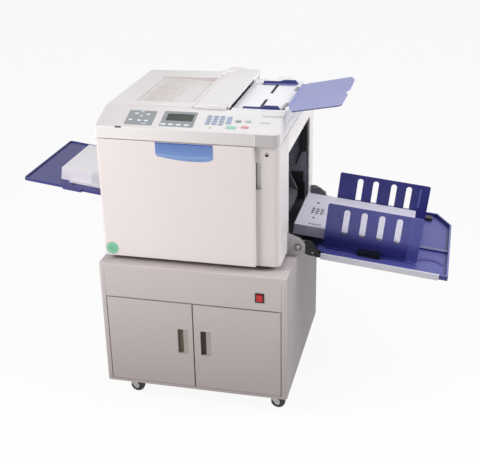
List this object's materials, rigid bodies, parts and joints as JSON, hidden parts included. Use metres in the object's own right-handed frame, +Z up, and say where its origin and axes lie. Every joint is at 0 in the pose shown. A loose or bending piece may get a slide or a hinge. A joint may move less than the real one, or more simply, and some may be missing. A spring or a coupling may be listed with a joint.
{
  "type": "digital duplicator",
  "caption": "floor-standing stencil duplicator on a cabinet with doors and casters, hinged scanner lid with a document feeder, lifting paper feed tray and folding output tray with side fences",
  "frame": {"origin": "on the floor, under the middle of the cabinet", "axes": "+Z up, +Y from the front to the rear, +X to the output tray's side (right, seen from the front)"},
  "size_m": [1.486, 0.6961, 1.0762],
  "materials": {
    "white_shell": "fine textured moulding, warm white",
    "cabinet_panel": "melamine faced board, pinkish beige grey",
    "steel_plate": "zinc plated sheet steel",
    "steel_bar": "ground steel bar",
    "frame_grey": "dark grey painted sheet steel",
    "tray_blue": "dark violet blue moulding",
    "fence_blue": "violet blue moulding",
    "flap_blue": "pale violet blue moulding",
    "guide_blue": "dark blue moulding",
    "panel_grey": "grey membrane panel",
    "key_grey": "bluish grey rubber keys",
    "start_green": "pale green key cap",
    "stop_red": "pinkish red key cap",
    "rocker_red": "red rocker",
    "black_plastic": "black moulding",
    "rubber_black": "black rubber",
    "rubber_grey": "grey rubber",
    "tyre_grey": "dark solid tyre",
    "glass_clear": "clear float glass",
    "paper_white": "plain white paper",
    "paper_printed": null,
    "lock_silver": "plated lock"
  },
  "bodies": {
    "cabinet": {"cabinet_left_panel": "cabinet_panel", "cabinet_right_panel": "cabinet_panel", "cabinet_top": "cabinet_panel", "cabinet_base": "cabinet_panel", "cabinet_back": "cabinet_panel", "cabinet_front_band": "cabinet_panel", "cabinet_shelf": "cabinet_panel", "caster_plates": "steel_plate", "switch_frame": "black_plastic", "machine_feet": "rubber_black", "base_pan": "frame_grey", "front_frame_plate": "frame_grey", "rear_frame_plate": "frame_grey", "main_motor": "black_plastic", "ejection_unit": "frame_grey", "left_cover": "white_shell", "right_cover": "white_shell", "rear_cover": "white_shell", "front_column": "white_shell", "hinge_pins": "steel_bar", "console_housing": "white_shell", "console_panels": "panel_grey", "number_keys": "key_grey", "scanner_housing": "white_shell", "platen_glass": "glass_clear", "tray_brackets": "steel_plate"},
    "feed_guide_rear": {"feed_guide_rear": "white_shell"},
    "adf_cover": {"adf_cover": "white_shell"},
    "front_cover": {"front_cover": "white_shell"},
    "caster_wheel_rear_right": {"caster_wheel_rear_right": "tyre_grey"},
    "feed_guide_front": {"feed_guide_front": "white_shell"},
    "scan_carriage": {"scan_carriage": "black_plastic"},
    "adf_feed_roller": {"adf_feed_roller": "rubber_grey"},
    "adf_flap": {"adf_flap": "flap_blue"},
    "side_fence_front": {"side_fence_front": "fence_blue"},
    "door_left": {"door_left": "cabinet_panel"},
    "stop_key": {"stop_key": "stop_red"},
    "side_fence_rear": {"side_fence_rear": "fence_blue"},
    "switch_rocker": {"switch_rocker": "rocker_red"},
    "lid_cover": {"lid_cover": "white_shell"},
    "pickup_roller": {"pickup_roller": "rubber_grey"},
    "caster_fork_rear_right": {"caster_fork_rear_right": "steel_plate"},
    "caster_wheel_rear_left": {"caster_wheel_rear_left": "tyre_grey"},
    "adf_guide_front": {"adf_guide_front": "guide_blue"},
    "adf_guide_rear": {"adf_guide_rear": "guide_blue"},
    "pressure_roller": {"pressure_roller": "rubber_grey"},
    "door_right": {"door_right": "cabinet_panel"},
    "caster_wheel_front_left": {"caster_wheel_front_left": "tyre_grey"},
    "print_drum": {"print_drum": "steel_bar"},
    "caster_fork_front_right": {"caster_fork_front_right": "steel_plate"},
    "master_roll": {"master_roll": "paper_white"},
    "caster_fork_rear_left": {"caster_fork_rear_left": "steel_plate"},
    "caster_fork_front_left": {"caster_fork_front_left": "steel_plate"},
    "caster_wheel_front_right": {"caster_wheel_front_right": "tyre_grey"},
    "start_key": {"start_key": "start_green"},
    "cover_lock": {"cover_lock": "lock_silver"},
    "feed_tray": {"feed_tray": "tray_blue", "feed_paper": "paper_white"},
    "output_tray": {"output_tray": "tray_blue", "printed_paper": "paper_printed"}
  },
  "joints": [
    {"name": "door_left_hinge", "type": "hinge", "parent": "cabinet", "child": "door_left", "pos_m": [-0.2945, -0.304, 0.24], "axis": [0, 0, -1], "range_deg": [0, 100]},
    {"name": "door_right_hinge", "type": "hinge", "parent": "cabinet", "child": "door_right", "pos_m": [0.2945, -0.304, 0.24], "axis": [0, 0, 1], "range_deg": [0, 100]},
    {"name": "power_rocker", "type": "hinge", "parent": "cabinet", "child": "switch_rocker", "pos_m": [0.2295, -0.31, 0.4475], "axis": [1, 0, 0], "range_deg": [0, 16]},
    {"name": "front_left_swivel", "type": "hinge", "parent": "cabinet", "child": "caster_fork_front_left", "pos_m": [-0.255, -0.255, 0.06], "axis": [0, 0, 1], "continuous": true},
    {"name": "front_left_wheel", "type": "hinge", "parent": "caster_fork_front_left", "child": "caster_wheel_front_left", "pos_m": [-0.23, -0.255, 0.025], "axis": [0, 1, 0], "continuous": true},
    {"name": "front_right_swivel", "type": "hinge", "parent": "cabinet", "child": "caster_fork_front_right", "pos_m": [0.255, -0.255, 0.06], "axis": [0, 0, 1], "continuous": true},
    {"name": "front_right_wheel", "type": "hinge", "parent": "caster_fork_front_right", "child": "caster_wheel_front_right", "pos_m": [0.28, -0.255, 0.025], "axis": [0, 1, 0], "continuous": true},
    {"name": "rear_left_swivel", "type": "hinge", "parent": "cabinet", "child": "caster_fork_rear_left", "pos_m": [-0.255, 0.255, 0.06], "axis": [0, 0, 1], "continuous": true},
    {"name": "rear_left_wheel", "type": "hinge", "parent": "caster_fork_rear_left", "child": "caster_wheel_rear_left", "pos_m": [-0.23, 0.255, 0.025], "axis": [0, 1, 0], "continuous": true},
    {"name": "rear_right_swivel", "type": "hinge", "parent": "cabinet", "child": "caster_fork_rear_right", "pos_m": [0.255, 0.255, 0.06], "axis": [0, 0, 1], "continuous": true},
    {"name": "rear_right_wheel", "type": "hinge", "parent": "caster_fork_rear_right", "child": "caster_wheel_rear_right", "pos_m": [0.28, 0.255, 0.025], "axis": [0, 1, 0], "continuous": true},
    {"name": "front_cover_hinge", "type": "hinge", "parent": "cabinet", "child": "front_cover", "pos_m": [-0.297, -0.271, 0.74], "axis": [0, 0, -1], "range_deg": [0, 100]},
    {"name": "cover_lock_turn", "type": "hinge", "parent": "cabinet", "child": "cover_lock", "pos_m": [0.247, -0.265, 0.922], "axis": [0, 1, 0], "range_deg": [0, 90]},
    {"name": "start_press", "type": "slide", "parent": "cabinet", "child": "start_key", "axis": [0, 0.3342, -0.9425], "range_m": [0, 0.0015], "stiffness_N_per_m": 800, "springref_m": -0.0005},
    {"name": "stop_press", "type": "slide", "parent": "cabinet", "child": "stop_key", "axis": [0, 0.3342, -0.9425], "range_m": [0, 0.0015], "stiffness_N_per_m": 800, "springref_m": -0.0005},
    {"name": "scan_travel", "type": "slide", "parent": "cabinet", "child": "scan_carriage", "axis": [1, 0, 0], "range_m": [0, 0.4]},
    {"name": "lid_hinge", "type": "hinge", "parent": "cabinet", "child": "lid_cover", "pos_m": [-0.0085, 0.332, 1.001], "axis": [-1, 0, 0], "range_deg": [0, 60]},
    {"name": "feeder_cover_hinge", "type": "hinge", "parent": "lid_cover", "child": "adf_cover", "pos_m": [-0.0067, 0.045, 1.0285], "axis": [0, -1, 0], "range_deg": [0, 60]},
    {"name": "feeder_roller_spin", "type": "hinge", "parent": "lid_cover", "child": "adf_feed_roller", "pos_m": [0.084, 0.002, 1.021], "axis": [0, 1, 0], "continuous": true},
    {"name": "original_guide_front_slide", "type": "slide", "parent": "lid_cover", "child": "adf_guide_front", "axis": [0, 1, 0], "range_m": [0, 0.08]},
    {"name": "original_guide_rear_slide", "type": "slide", "parent": "lid_cover", "child": "adf_guide_rear", "axis": [0, 1, 0], "range_m": [-0.08, 0]},
    {"name": "original_flap_fold", "type": "hinge", "parent": "lid_cover", "child": "adf_flap", "pos_m": [0.29, -0.007, 1.038], "axis": [0, -1, 0], "range_deg": [0, 145]},
    {"name": "feed_tray_lift", "type": "slide", "parent": "cabinet", "child": "feed_tray", "axis": [0, 0, 1], "range_m": [-0.06, 0]},
    {"name": "feed_guide_front_slide", "type": "slide", "parent": "feed_tray", "child": "feed_guide_front", "axis": [0, 1, 0], "range_m": [-0.02, 0]},
    {"name": "feed_guide_rear_slide", "type": "slide", "parent": "feed_tray", "child": "feed_guide_rear", "axis": [0, 1, 0], "range_m": [0, 0.02]},
    {"name": "output_tray_fold", "type": "hinge", "parent": "cabinet", "child": "output_tray", "pos_m": [0.324, 0.095, 0.56], "axis": [0, -1, 0], "range_deg": [0, 38]},
    {"name": "side_fence_front_slide", "type": "slide", "parent": "output_tray", "child": "side_fence_front", "axis": [0, 1, 0], "range_m": [-0.04, 0]},
    {"name": "side_fence_rear_slide", "type": "slide", "parent": "output_tray", "child": "side_fence_rear", "axis": [0, 1, 0], "range_m": [0, 0.04]},
    {"name": "drum_spin", "type": "hinge", "parent": "cabinet", "child": "print_drum", "pos_m": [-0.01, 0.095, 0.782], "axis": [0, 1, 0], "continuous": true},
    {"name": "pressure_spin", "type": "hinge", "parent": "cabinet", "child": "pressure_roller", "pos_m": [-0.01, 0.095, 0.6596], "axis": [0, 1, 0], "continuous": true},
    {"name": "pickup_spin", "type": "hinge", "parent": "cabinet", "child": "pickup_roller", "pos_m": [-0.215, 0.095, 0.71983], "axis": [0, 1, 0], "continuous": true},
    {"name": "master_roll_spin", "type": "hinge", "parent": "cabinet", "child": "master_roll", "pos_m": [-0.19, 0.095, 0.88], "axis": [0, 1, 0], "continuous": true}
  ],
  "couplings": [
    {"joint": "pressure_spin", "follows": "drum_spin", "ratio": -3.0667},
    {"joint": "original_guide_rear_slide", "follows": "original_guide_front_slide", "ratio": -1},
    {"joint": "feed_guide_rear_slide", "follows": "feed_guide_front_slide", "ratio": -1},
    {"joint": "side_fence_rear_slide", "follows": "side_fence_front_slide", "ratio": -1}
  ]
}
